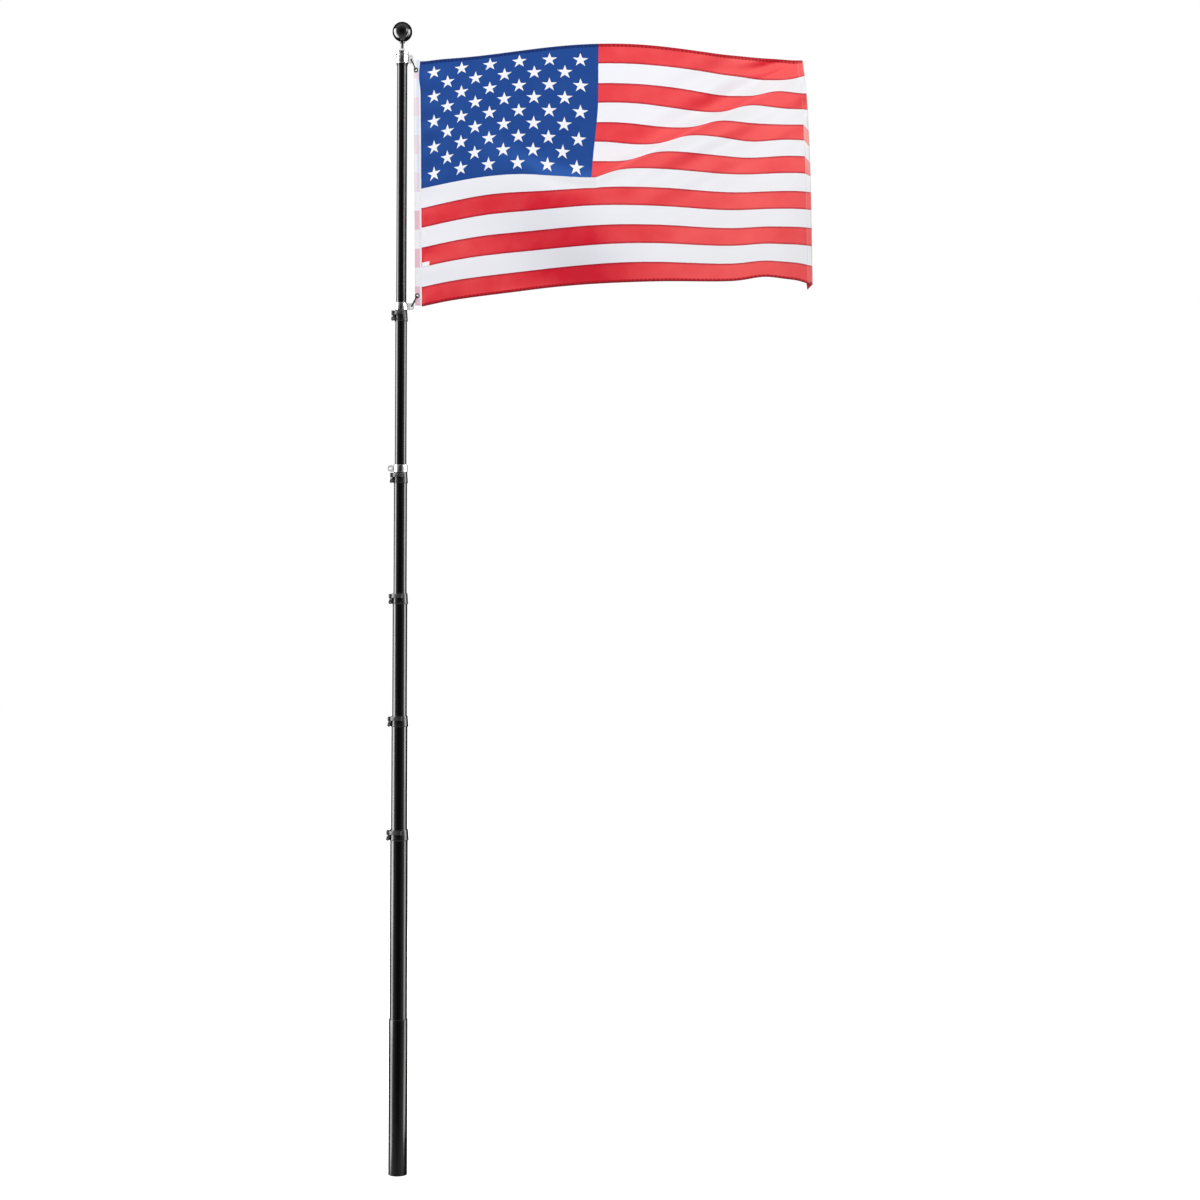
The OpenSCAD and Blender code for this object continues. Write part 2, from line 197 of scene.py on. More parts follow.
def part_satin(name, axis, start, satin):
    """Chrome, and satin silver beyond a place along one axis: a ring's lug, or the cone of the cap."""
    made, tree, shader = finish_of(name, (0.86, 0.87, 0.89), 0.1, Metallic=1.0)
    place = node(tree, "ShaderNodeSeparateXYZ", {0: object_place(tree)}).outputs[axis]
    beyond = spread(tree, math_node(tree, "ABSOLUTE", place), 0.0, 1.0, start, start + 0.0012)
    grain = noise(tree, object_place(tree, (300.0, 300.0, 900.0)), 1.0, 3.0)
    rough = plus(tree, spread(tree, grain, 0.17, 0.24), times(tree, beyond, 0.22))
    metal = minus(tree, 1.0, times(tree, beyond, 0.65))
    bright = two_tone(tree, spread(tree, grain, 0.0, 1.0), (0.84, 0.85, 0.87), (0.92, 0.92, 0.93))
    feed(tree, shader, Roughness=rough, Metallic=metal, Base_Color=over(tree, beyond, bright, satin))
    bump(tree, shader, grain, 0.04, 0.0001)
    return made


def plain_metal(name, color, roughness, grain_scale=700.0):
    """Bare metal with a fine grain in its gloss."""
    made, tree, shader = finish_of(name, color, roughness, Metallic=1.0)
    grain = noise(tree, object_place(tree, (grain_scale, grain_scale, grain_scale)), 1.0, 3.0)
    darker = tuple(0.8 * c for c in color)
    tone = two_tone(tree, spread(tree, grain, 0.0, 1.0), darker, color)
    feed(tree, shader, Roughness=spread(tree, grain, 0.7 * roughness, 1.4 * roughness), Base_Color=tone)
    bump(tree, shader, grain, 0.04, 0.0001)
    return made


def gloss_black():
    """Gloss black of the ball, with a slight orange peel."""
    made, tree, shader = finish_of("finial_gloss", (0.004, 0.004, 0.0045), 0.07,
                                   Coat_Weight=0.6, Coat_Roughness=0.03)
    peel = noise(tree, object_place(tree), 220.0)
    handled = noise(tree, object_place(tree), 30.0, 4.0)
    feed(tree, shader, Roughness=spread(tree, handled, 0.05, 0.12))
    bump(tree, shader, peel, 0.02, 0.0003)
    return made


# Where the satin starts: height of the cap's cone, and distance of the lugs from the pole's middle line
CAP_CONE_Z, RING_LUG_X, SPARE_LUG_X = 4.0405, 0.0228, 0.0254
CONE_SATIN, LUG_SATIN = (0.93, 0.93, 0.94), (0.76, 0.76, 0.78)
tube_finish = anodised_tube()
sleeve_finish = sleeve_plastic()
collar_finish = clamp_nylon("collar_nylon", (0.006, 0.006, 0.0065), (0.014, 0.014, 0.015), 0.23)
lever_finish = clamp_nylon("lever_nylon", (0.030, 0.030, 0.031), (0.060, 0.060, 0.061), 0.40)
chrome_finish = part_satin("cap_chrome", "Z", CAP_CONE_Z, CONE_SATIN)
ring_finish = part_satin("ring_chrome", "X", RING_LUG_X, LUG_SATIN)
spare_finish = part_satin("spare_ring_chrome", "X", SPARE_LUG_X, LUG_SATIN)
clip_finish = plain_metal("clip_bronze", (0.13, 0.095, 0.07), 0.34)
dark_clip_finish = plain_metal("clip_dark_bronze", (0.045, 0.04, 0.036), 0.3)
steel_finish = plain_metal("fastener_steel", (0.42, 0.42, 0.44), 0.26)
brass_finish = plain_metal("grommet_brass", (0.74, 0.52, 0.25), 0.2, 600.0)
dark_brass_finish = plain_metal("grommet_dark_brass", (0.24, 0.19, 0.125), 0.25, 600.0)
ball_finish = gloss_black()
rubbed_nylon = clamp_nylon("rubbed_nylon", (0.075, 0.075, 0.078), (0.14, 0.14, 0.145), 0.3)
rubbed_sleeve = clamp_nylon("rubbed_sleeve", (0.03, 0.03, 0.031), (0.06, 0.06, 0.061), 0.25)

# Finish by the start of a piece's name
FINISH_BY_NAME = {
    "tube": tube_finish, "ground": sleeve_finish, "collar": collar_finish, "lever": lever_finish,
    "bolt": steel_finish, "nut": steel_finish, "upper_ring": ring_finish, "lower_ring": ring_finish,
    "spare_ring": spare_finish, "top_cap": chrome_finish, "upper_clip": clip_finish,
    "lower_clip": dark_clip_finish, "upper_grommet": brass_finish, "lower_grommet": dark_brass_finish,
    "ring_stop": sleeve_finish, "finial": ball_finish,
}
# Edges are rounded a little, and some are rubbed paler: start of name, width, finish of the edge
ROUNDED = (
    ("collar", 0.0006, rubbed_nylon), ("lever", 0.0005, rubbed_nylon), ("ground", 0.0007, rubbed_sleeve),
    ("nut", 0.0004, steel_finish), ("bolt", 0.0003, steel_finish), ("upper_ring", 0.0003, None),
    ("lower_ring", 0.0003, None), ("spare_ring", 0.0003, None), ("ring_stop", 0.0003, rubbed_sleeve),
)


def round_edges(piece, width, finish):
    """Bevels a piece's sharp edges, with a finish of their own where one is given."""
    weld = piece.modifiers.new("weld", "WELD")
    weld.merge_threshold = 0.00001
    rounded = piece.modifiers.new("rounded", "BEVEL")
    rounded.width = width
    rounded.segments = 2
    rounded.limit_method = "ANGLE"
    rounded.angle_limit = math.radians(40)
    rounded.harden_normals = True
    if finish is not None:
        piece.data.materials.append(finish)
        rounded.material = 1


for name, piece in nodes.items():
    for start, finish in FINISH_BY_NAME.items():
        if name.startswith(start):
            piece.data.materials.clear()
            piece.data.materials.append(finish)
    for start, width, finish in ROUNDED:
        if name.startswith(start):
            round_edges(piece, width, finish)


# Flag: sizes in metres. The seam at the header is 2.5 mm nearer the pole than in the part's solids
HOIST, SLACK, FIELD_W = 0.886, 0.032, 1.4105
HEADER_X, HEADER_W, HEADER_LEAN, HEADER_TOP, HEADER_T = 0.041, 0.024, 0.009, 4.014, 0.0016
SEAT = 0.0003
CLOTH_H = HOIST + SLACK
CLOTH_T, HEM_T = 0.0005, 0.0011
# Stars and threads are sunk a little into the cloth
SUNK = 0.00005
HEM_W, FLY_HEM = 0.008, 0.020
PUCKER, SEAM_W = 0.0145, 0.0085
STRIPES, CANTON_STRIPES = 13, 7
# The canton's length is a share of the field's
CANTON_W = 0.4543

# Flag: how it hangs. Places along the sheet and down it are shares of the sheet, and depths are metres
KNEE, LIFT_AT, LIFT_FALL = 0.465, 0.475, 0.457
FOLD_AT, FOLD_SLOPE, FOLD_RISE = 0.562, 0.96, 0.28
FOLD_SOFT, HEADER_SOFT = 0.039, 0.052
TOP_LIFT, FOOT_LIFT, FOLD_LEAN, FOLD_TAKE = 0.0585, 0.0305, 0.035, 0.024
SHARP_DEPTH, SOFT_DEPTH = 0.07, 0.0525
PLEAT_TAKE, FLY_DRAW, FLY_DIP = 0.020, 0.0685, 0.038
RIPPLE, RIPPLES_ALONG, RIPPLES_DOWN = 0.022, 2.6, 0.5
CORNER_BACK, KNEE_PULL, FLY_HOLLOW = 0.040, 0.023, 0.008
FOLD_CREASE, FLY_SHOULDER, FLY_HEEL = 0.0095, 0.0115, 0.013
FOOT_HOLLOW, FOOT_BOW = 0.045, 0.021
HEADER_SWING, SWING_AT = 0.018, 0.1
CURL_BACK, CURL_DROP = 0.012, 0.021
LAP_ALONG, LAP_FORWARD = 0.005, 0.0022

# Flag: fine creases. The rays come out of a place just past the fly end's top corner
FOLD_WAVE, FOLD_WAVE_LENGTH = 0.0030, 0.13
RAY_DEPTH, RAY_COUNT, RAY_REACH, RAY_U, RAY_V = 0.0019, 23.0, 0.14, 1.03, -0.02
SHEET_RATIO = 0.65
LOW_WAVE, LOW_WAVES_ALONG, LOW_WAVES_DOWN = 0.004, 3.3, 0.35
HEADER_PUCKER, HEADER_PUCKERS = 0.0016, 9.0
HEADER_SWAY, HEADER_SWAYS = 0.0009, 3.0
TURN = 2.0 * math.pi

# Place of the camera, from which the flag's outline is set
EYE = (0.72, -7.5, 2.07)


def ease(x):
    t = np.clip(x, 0.0, 1.0)
    return t * t * (3.0 - 2.0 * t)


def grows(x, start, length):
    """Rises softly from 0 at start to 1 after length."""
    return ease((x - start) / length)


def bell(x, width):
    return np.exp(-(x / width) ** 2)


def near_header(u):
    return 1.0 - ease(u / KNEE)


def fold_line(u):
    """How far down the long fold runs."""
    return FOLD_AT - FOLD_SLOPE * np.maximum(0.0, u - KNEE) - FOLD_RISE * near_header(u)


def fold_step(u, v):
    softness = FOLD_SOFT + HEADER_SOFT * near_header(u)
    return 1.0 / (1.0 + np.exp(-2.0 * (v - fold_line(u)) / softness))


def below_fold(u, v):
    """0 at the top edge, and nearly 1 below the long fold."""
    return fold_step(u, v) - fold_step(u, 0.0 * v)


def fine_drape(u, v):
    """Small creases of thin cloth: along the fold, out of the top fly corner, low down and at the header."""
    off_fold = v - fold_line(u)
    fold_waves = np.sin(TURN * off_fold / FOLD_WAVE_LENGTH) * bell(off_fold, 0.3)
    along_fold = FOLD_WAVE * grows(u, 0.45, 0.3) * fold_waves
    from_corner = np.hypot(RAY_U - u, SHEET_RATIO * v)
    rays = np.sin(RAY_COUNT * np.arctan2(v - RAY_V, RAY_U - u))
    corner = RAY_DEPTH * bell(from_corner - RAY_REACH, 0.10) * rays
    low_waves = np.sin(TURN * (LOW_WAVES_ALONG * u + LOW_WAVES_DOWN * v))
    low = LOW_WAVE * grows(v, 0.5, 0.4) * grows(u, 0.1, 0.3) * low_waves
    puckers = HEADER_PUCKER * bell(u, 0.05) * np.sin(TURN * HEADER_PUCKERS * v) * ease(u / 0.01)
    return along_fold + corner + low + puckers


# Small settlings of the cloth: how far it rises, then where along and how wide, where down and how deep
SETTLED = (
    (-0.0035, 0.0, 0.045, 0.5, 2.0),
    (-0.0040, 0.0, 0.035, 0.0, 0.20),
    (-0.0090, 0.18, 0.12, 1.0, 0.16),
    (0.0065, 0.20, 0.13, 0.62, 0.09),
    (0.0050, 0.40, 0.15, 0.71, 0.07),
    (-0.0050, 0.33, 0.05, 0.54, 0.04),
    (-0.0050, 0.55, 0.06, 0.42, 0.06),
    (-0.0060, 0.54, 0.14, 1.0, 0.05),
    (0.0040, 0.62, 0.12, 0.0, 0.10),
    (0.0060, 0.83, 0.05, 0.11, 0.10),
    (-0.0100, 0.85, 0.06, 0.38, 0.09),
    (-0.0170, 0.985, 0.045, 0.08, 0.075),
    (0.0115, 0.93, 0.11, 0.0, 0.06),
    (0.0120, 1.0, 0.050, 0.27, 0.07),
    (-0.0140, 1.0, 0.030, 1.0, 0.10),
)


def settled(u, v):
    return sum(rise * bell(u - at_u, wide) * bell(v - at_v, deep) for rise, at_u, wide, at_v, deep in SETTLED)


def fly_curl(u, v):
    """1 where the fly hem rolls back at mid height, and 0 elsewhere."""
    into_hem = np.clip((u - 1.0) * FIELD_W / FLY_HEM + 1.0, 0.0, 1.0)
    return grows(v, 0.25, 0.05) * (1.0 - grows(v, 0.45, 0.15)) * into_hem


def over_header(u, v):
    """1 where the cloth's top laps over the header strip, and 0 elsewhere."""
    return bell(u, 0.012) * bell(v - 0.055, 0.05)


def sheet_x(u, v):
    mid_height = grows(v, 0.2, 0.35) * (1.0 - grows(v, 0.6, 0.3))
    fly_end = CORNER_BACK * ((1.0 - v) ** 3 - 0.1 * bell(v, 0.05)) + FLY_HOLLOW * np.sin(np.pi * v)
    return (HEADER_X + HEADER_W + SEAT + FIELD_W * u + HEADER_LEAN * v * (1.0 - ease(u / 0.45))
            - KNEE_PULL * bell(u - 0.47, 0.12) * mid_height - LAP_ALONG * over_header(u, v)
            - grows(u, 0.7, 0.3) * fly_end)


def sheet_y(u, v):
    """Depth of the cloth, and depth of the same sheet with a sharp fold and no creases."""
    fold = below_fold(u, v)
    ripples = RIPPLE * grows(u, 0.55, 0.4) * np.sin(TURN * (RIPPLES_ALONG * u + RIPPLES_DOWN * v))
    leaning = ripples + FOLD_LEAN * ease(u / 0.4) * v * (1.0 - fold)
    sharp = leaning - SHARP_DEPTH * grows(u, 0.05, 0.4) * fold
    hollow = (FOOT_HOLLOW * bell(u - 0.4 * v + 0.05, 0.17) * grows(v, 0.5, 0.5)
              + FOOT_BOW * grows(v, 0.82, 0.3) * (1.0 - grows(u, 0.38, 0.2)) * ease(u / 0.1))
    swing = HEADER_SWING * u / SWING_AT * np.exp(1.0 - u / SWING_AT)
    soft = (leaning - SOFT_DEPTH * grows(u, 0.2, 0.33) * fold + fine_drape(u, v) + hollow + swing
            + CURL_BACK * fly_curl(u, v) - LAP_FORWARD * over_header(u, v))
    return soft, sharp


def sheet_z(u, v):
    near = near_header(u)
    pleat = PLEAT_TAKE * bell(u - 0.15, 0.137) * (1.0 - np.exp(-u / 0.025))
    fold_height = SLACK * near + FOLD_TAKE * (1.0 - near) + pleat
    away = np.where(u < LIFT_AT, (LIFT_AT - u) / LIFT_AT, (u - LIFT_AT) / LIFT_FALL)
    lift = TOP_LIFT * np.cos(np.pi / 2 * np.minimum(1.0, away)) ** 2
    draw = FLY_DRAW * grows(u, 0.36, 0.66) * v + FOOT_LIFT * (1.0 - np.exp(-u / 0.42)) * v * v
    crease = -FOLD_CREASE * grows(u, 0.42, 0.2) * bell(v - fold_line(u) + 0.105, 0.1)
    corners = FLY_SHOULDER * bell(u - 0.9, 0.14) * (1.0 - v) + FLY_HEEL * bell(u - 0.876, 0.05) * v ** 6
    dip = -FLY_DIP * bell(u - 1.0, 0.115) * bell(v - 0.224, 0.15)
    return (HEADER_TOP + lift - CLOTH_H * v + fold_height * below_fold(u, v) + draw + crease + corners + dip
            - CURL_DROP * fly_curl(u, v) + settled(u, v))


def field_place(u, v):
    """The sheet's middle at u, from header to fly end, and v, from top edge to bottom edge."""
    y, sharp = sheet_y(u, v)
    # Cloth further back than the sharp sheet is let out, so that its outline from the front stays the same
    let_out = (y - EYE[1]) / (sharp - EYE[1])
    x = EYE[0] + (sheet_x(u, v) - EYE[0]) * let_out
    z = EYE[2] + (sheet_z(u, v) - EYE[2]) * let_out
    return np.stack([x, y, z], -1)


def header_place(u, v):
    """The header strip's middle at u, from pole side to field side, and v, from top to bottom."""
    sway = HEADER_SWAY * np.sin(TURN * HEADER_SWAYS * v) * np.sin(np.pi * u)
    return np.stack([HEADER_X + HEADER_LEAN * v + HEADER_W * u, sway, HEADER_TOP - HOIST * v], -1)


def surface_normals(place, u, v, step=1e-4):
    """Unit normals on the front, which faces -Y."""
    along = place(u + step, v) - place(u - step, v)
    down = place(u, v + step) - place(u, v - step)
    n = np.cross(down, along)
    n /= np.linalg.norm(n, axis=-1, keepdims=True)
    return np.where(n[..., 1:2] > 0, -n, n)


# Meshes of the sheets
def make_object(name, points, faces, uv_of_point=None):
    """A mesh object at the origin, smooth, with the cloth's own map where uv_of_point is given."""
    mesh = bpy.data.meshes.new(name)
    mesh.from_pydata([tuple(p) for p in points], [], [tuple(f) for f in faces])
    mesh.polygons.foreach_set("use_smooth", [True] * len(mesh.polygons))
    if uv_of_point is not None:
        corner = np.zeros(len(mesh.loops), int)
        mesh.loops.foreach_get("vertex_index", corner)
        layer = mesh.uv_layers.new(name="cloth")
        layer.uv.foreach_set("vector", np.asarray(uv_of_point, np.float32)[corner].ravel())
    mesh.update()
    piece = bpy.data.objects.new(name, mesh)
    scene.collection.objects.link(piece)
    return piece


def grid_faces(columns, rows):
    """Quads of a sheet whose points run down each column, facing the front."""
    c, r = np.meshgrid(np.arange(columns - 1), np.arange(rows - 1), indexing="ij")
    a = (c * rows + r).ravel()
    return np.stack([a, a + 1, a + rows + 1, a + rows], -1)


def edge_loop(columns, rows):
    """Point numbers round a sheet's edge: down the first column, along the foot, up the last and back."""
    left = np.arange(rows)
    foot = np.arange(1, columns) * rows + rows - 1
    right = (columns - 1) * rows + np.arange(rows - 2, -1, -1)
    top = np.arange(columns - 2, 0, -1) * rows
    return np.concatenate([left, foot, right, top])


# Direction of the light, how far a flat sheet faces it, and how fast the cloth's painted shade changes with
# that
LIGHT_FROM = np.array([0.0, -0.78, 0.62])
FLAT_FACING, FACING_GAIN = 0.78, 2.2


def closed_sheet(name, place, us, vs, thickness):
    """A sheet with a front, a back and a closed edge. thickness is a function of u and v."""
    u, v = (g.ravel() for g in np.meshgrid(us, vs, indexing="ij"))
    middle, out = place(u, v), surface_normals(place, u, v)
    half = 0.5 * thickness(u, v)[:, None]
    columns, rows = len(us), len(vs)
    front = grid_faces(columns, rows)
    count = columns * rows
    ring = edge_loop(columns, rows)
    after = np.roll(ring, -1)
    rim = np.stack([ring, ring + count, after + count, after], -1)
    uv = np.stack([u, v], -1)
    points = np.concatenate([middle + out * half, middle - out * half])
    faces = np.concatenate([front, front[:, ::-1] + count, rim])
    piece = make_object(name, points, faces, np.concatenate([uv, uv]))
    # How far each point faces the light, kept for the cloth's painted shade
    lit = np.clip(0.5 + FACING_GAIN * (out @ LIGHT_FROM - FLAT_FACING), 0.0, 1.0).astype(np.float32)
    facing = piece.data.attributes.new("facing", "FLOAT", "POINT")
    facing.data.foreach_set("value", np.concatenate([lit, lit]))
    return piece


# The field's grid has a line on each seam and on both sides of the step from cloth to hem
CANTON_COLUMNS, FLY_COLUMNS, HEM_COLUMNS, STRIPE_ROWS = 92, 110, 6, 10
HEM_STEP_U, HEM_STEP_V = 0.0006, 0.0008
HEM_U, HEM_V = 1.0 - FLY_HEM / FIELD_W, HEM_W / CLOTH_H
field_us = np.unique(np.concatenate([
    np.linspace(0.0, CANTON_W, CANTON_COLUMNS + 1),
    np.linspace(CANTON_W, HEM_U, FLY_COLUMNS + 1)[1:],
    np.linspace(HEM_U + HEM_STEP_U, 1.0, HEM_COLUMNS),
]))
field_vs = np.unique(np.concatenate([
    np.linspace(0.0, 1.0, STRIPES * STRIPE_ROWS + 1),
    [HEM_V, HEM_V + HEM_STEP_V, 1.0 - HEM_V, 1.0 - HEM_V - HEM_STEP_V],
]))


def hem_share(u, v):
    """1 in the turned hems along the top, the foot and the fly end, and 0 in the cloth between them."""
    edge = np.minimum(v, 1.0 - v) * CLOTH_H
    end = (1.0 - u) * FIELD_W
    return np.maximum(edge <= HEM_W + 1e-6, end <= FLY_HEM + 1e-6).astype(float)


def cloth_thickness(u, v):
    return CLOTH_T + (HEM_T - CLOTH_T) * hem_share(u, v)


# Dyed cloth, with painted light and shade. along and down are metres on the flat sheet
def seam_shadow_share(tree, down):
    """Share of the painted seam shadow: strongest on a seam between two stripes, and 0 from SEAM_W away."""
    in_stripe = math_node(tree, "FRACT", times(tree, down, STRIPES / CLOTH_H))
    from_seam = math_node(tree, "MINIMUM", in_stripe, minus(tree, 1.0, in_stripe))
    return spread(tree, from_seam, 0.8, 0.0, 0.0, SEAM_W * STRIPES / CLOTH_H)


def puckered_hem_shade(tree, along, down):
    """Share of painted shade in the hems along the top and the foot, which are drawn together once in each
    PUCKER of length.
    """
    from_edge = math_node(tree, "MINIMUM", down, minus(tree, CLOTH_H, down))
    in_hem = math_node(tree, "LESS_THAN", from_edge, 1.4 * HEM_W)
    in_pucker = math_node(tree, "FRACT", math_node(tree, "DIVIDE", along, PUCKER))
    drawn = math_node(tree, "ABSOLUTE", minus(tree, in_pucker, 0.5))
    return times(tree, in_hem, spread(tree, drawn, 0.5, 1.0, 0.0, 0.5))


def turned_fly_hem_highlight(tree, along, down):
    """Share of the painted highlight on the fly hem, strongest at mid height, where it turns back."""
    begins = spread(tree, down, 0.05, 0.8, 0.24 * CLOTH_H, 0.31 * CLOTH_H)
    ends = spread(tree, down, 1.0, 0.2, 0.46 * CLOTH_H, 0.60 * CLOTH_H)
    in_hem = math_node(tree, "GREATER_THAN", along, FIELD_W - FLY_HEM)
    return times(tree, times(tree, begins, ends), in_hem)


def dyed_cloth(name, color, deep, fly_hem_highlight, crest=None, hem_pucker_shade=None, seam_shadow_tone=None):
    """Light woven polyester, unevenly dyed, with painted shade where it turns from the light, on lit crests,
    along seams and in hem puckers, and painted light towards the fly end and on its turned hem.
    """
    made, tree, shader = finish_of(name, color, 0.62, Sheen_Weight=0.05, Sheen_Roughness=0.4,
                                   Specular_IOR_Level=0.15)
    own = cloth_map(tree)
    flat = mapped(tree, own, (FIELD_W, CLOTH_H, 1.0))
    split = node(tree, "ShaderNodeSeparateXYZ", {"Vector": flat})
    along, down = split.outputs["X"], split.outputs["Y"]
    facing = node(tree, "ShaderNodeAttribute", attribute_name="facing").outputs["Fac"]
    uneven = spread(tree, noise(tree, flat, 9.0, 3.0), -0.12, 0.12)
    # Deeper mid-flag and paler towards the fly end: painted light and shade
    painted_fly_light = spread(tree, along, 0.14, -0.16, 0.45 * FIELD_W, 0.8 * FIELD_W)
    # Painted shade where the cloth turns from the light, with uneven dye and the painted light towards the
    # fly
    painted_shade_and_dye = plus(tree, minus(tree, 1.0, facing), plus(tree, uneven, painted_fly_light))
    # Crests that face the light are painted darker: painted shade
    lit_crest_painted_shade = spread(tree, facing, 0.0, 1.0, 0.48, 0.95)
    dye = over(tree, lit_crest_painted_shade, two_tone(tree, painted_shade_and_dye, color, deep), crest or color)
    # Painted shadow along the seams between stripes
    if seam_shadow_tone:
        dye = over(tree, seam_shadow_share(tree, down), dye, seam_shadow_tone)
    # Painted shade in the puckered hems
    if hem_pucker_shade:
        dye = over(tree, puckered_hem_shade(tree, along, down), dye, hem_pucker_shade)
    # Painted highlight where the fly hem turns back
    dye = over(tree, turned_fly_hem_highlight(tree, along, down), dye, fly_hem_highlight)
    slub = noise(tree, mapped(tree, own, (12.0, 900.0, 1.0)), 1.0)
    weave = times(tree, ribs(tree, flat, 330.0, "X"), ribs(tree, flat, 330.0, "Y"))
    feed(tree, shader, Base_Color=dye, Roughness=spread(tree, slub, 0.55, 0.7))
    bump(tree, shader, plus(tree, weave, times(tree, slub, 0.6)), 0.12, 0.0003)
    return made


# Each cloth: its dye, its painted shade, the painted highlight of its turned fly hem, and where given the
# painted shade of lit crests, hem puckers and seams
red_cloth = dyed_cloth(
    "flag_red", (0.96, 0.145, 0.138), (0.70, 0.010, 0.030), (0.93, 0.42, 0.38),
    crest=(0.69, 0.064, 0.071), hem_pucker_shade=(0.42, 0.0015, 0.011), seam_shadow_tone=(0.25, 0.002, 0.016))
white_cloth = dyed_cloth(
    "flag_white", (0.845, 0.845, 0.865), (0.855, 0.86, 0.925), (0.93, 0.93, 0.94), crest=(0.665, 0.67, 0.695))
blue_cloth = dyed_cloth(
    "flag_blue", (0.022, 0.090, 0.34), (0.010, 0.052, 0.25), (0.03, 0.10, 0.35),
    hem_pucker_shade=(0.004, 0.022, 0.13))


def color_stripes(field):
    """Gives each face the cloth of its stripe or of the canton."""
    for finish in (red_cloth, white_cloth, blue_cloth):
        field.data.materials.append(finish)
    on_map = np.zeros(len(field.data.loops) * 2, np.float32)
    field.data.uv_layers["cloth"].uv.foreach_get("vector", on_map)
    face_middle = on_map.reshape(-1, 4, 2).mean(1)
    stripe = np.clip((face_middle[:, 1] * STRIPES).astype(int), 0, STRIPES - 1)
    in_canton = (face_middle[:, 0] < CANTON_W) & (stripe < CANTON_STRIPES)
    field.data.polygons.foreach_set("material_index", np.where(in_canton, 2, stripe % 2).astype(np.int32))


flag_field = closed_sheet("flag_cloth", field_place, field_us, field_vs, cloth_thickness)
color_stripes(flag_field)


# Stars and stitches lie on a guide, which is the sheet's middle with its own map
def guide_of(name, place, us, vs):
    u, v = (g.ravel() for g in np.meshgrid(us, vs, indexing="ij"))
    return make_object(name, place(u, v), grid_faces(len(us), len(vs)), np.stack([u, v], -1))


def new_tree(name, sockets):
    """A Geometry Nodes tree with these named inputs, and its input and output nodes."""
    tree = bpy.data.node_groups.new(name, "GeometryNodeTree")
    tree.interface.new_socket("Geometry", in_out="INPUT", socket_type="NodeSocketGeometry")
    for label, kind in sockets:
        tree.interface.new_socket(label, in_out="INPUT", socket_type=kind)
    tree.interface.new_socket("Geometry", in_out="OUTPUT", socket_type="NodeSocketGeometry")
    return tree, node(tree, "NodeGroupInput"), node(tree, "NodeGroupOutput")


def laid_on_guide(tree, given, flat):
    """Flat geometry, x along the cloth and y down it in metres and z off it, laid on the guide's surface."""
    parts = node(tree, "ShaderNodeSeparateXYZ", {0: node(tree, "GeometryNodeInputPosition").outputs[0]})
    own = vector_of(tree, math_node(tree, "DIVIDE", parts.outputs[0], given.outputs["Cloth width"]),
                    math_node(tree, "DIVIDE", parts.outputs[1], given.outputs["Cloth height"]))
    on_map = node(tree, "GeometryNodeInputNamedAttribute", {"Name": "cloth"}, data_type="FLOAT_VECTOR")
    found = []
    for source in ("GeometryNodeInputPosition", "GeometryNodeInputNormal"):
        sampler = node(tree, "GeometryNodeSampleUVSurface", data_type="FLOAT_VECTOR")
        tree.links.new(given.outputs["Geometry"], sampler.inputs["Mesh"])
        tree.links.new(node(tree, source).outputs[0], sampler.inputs["Value"])
        tree.links.new(on_map.outputs[0], sampler.inputs["Source UV Map"])
        tree.links.new(own, sampler.inputs["Sample UV"])
        found.append(sampler.outputs["Value"])
    off = times(tree, plus(tree, parts.outputs[2], given.outputs["Off the middle"]), given.outputs["Side"])
    push = node(tree, "ShaderNodeVectorMath", {0: found[1], "Scale": off}, operation="SCALE").outputs[0]
    at = node(tree, "ShaderNodeVectorMath", {0: found[0], 1: push}, operation="ADD").outputs[0]
    return node(tree, "GeometryNodeSetPosition", {"Geometry": flat, "Position": at}).outputs[0]


# Inputs of every tree that lays its geometry on a guide
LAID = [
    ("Cloth width", "NodeSocketFloat"), ("Cloth height", "NodeSocketFloat"),
    ("Off the middle", "NodeSocketFloat"), ("Side", "NodeSocketFloat"), ("Material", "NodeSocketMaterial"),
]


def end_tree(tree, given, out, geometry):
    """Ends a tree in plain geometry with its material."""
    real = node(tree, "GeometryNodeRealizeInstances", {"Geometry": geometry}).outputs[0]
    done = node(tree, "GeometryNodeSetMaterial", {"Geometry": real, "Material": given.outputs["Material"]})
    tree.links.new(done.outputs[0], out.inputs[0])
    return tree


def end_on_guide(tree, given, out, flat):
    """Lays flat geometry on the guide, with faces outwards on either side of it, and ends the tree."""
    on_front = math_node(tree, "GREATER_THAN", given.outputs["Side"], 0.0)
    laid = laid_on_guide(tree, given, flat)
    turned = node(tree, "GeometryNodeFlipFaces", {"Mesh": laid, "Selection": on_front}).outputs[0]
    return end_tree(tree, given, out, turned)


